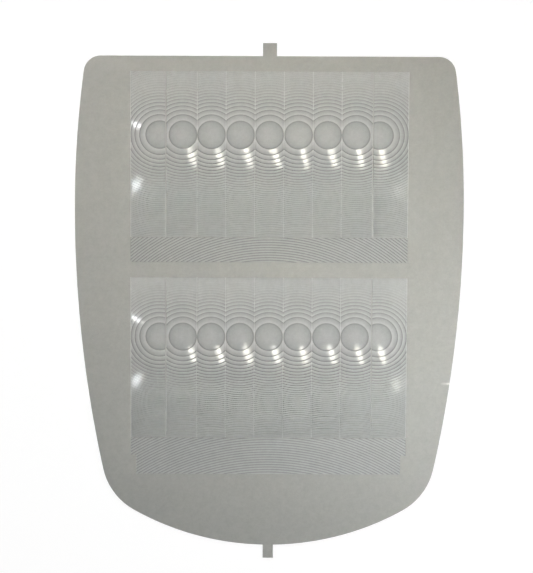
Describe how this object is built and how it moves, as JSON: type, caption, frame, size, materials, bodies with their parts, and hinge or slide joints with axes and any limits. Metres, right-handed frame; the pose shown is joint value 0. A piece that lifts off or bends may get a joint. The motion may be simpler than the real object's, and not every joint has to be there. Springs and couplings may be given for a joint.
{
  "type": "motion sensor lens",
  "caption": "Thin milky plastic Fresnel lens sheet for a passive infrared motion sensor, with two rows of ringed lens cells over arched strips and a locating tab at each end.",
  "frame": {"origin": "middle of the sheet's box, on the smooth outer face that it lies on", "axes": "+X along the rows of lenses, +Y towards the straight top edge, +Z out of the grooved inner face"},
  "size_m": [0.0778, 0.1042, 0.0006],
  "materials": {
    "milky_plastic": "satin, milky and slightly see-through, with fine moulded grooves on one face"
  },
  "bodies": {
    "root": {"lens_sheet": "milky_plastic"}
  },
  "joints": []
}
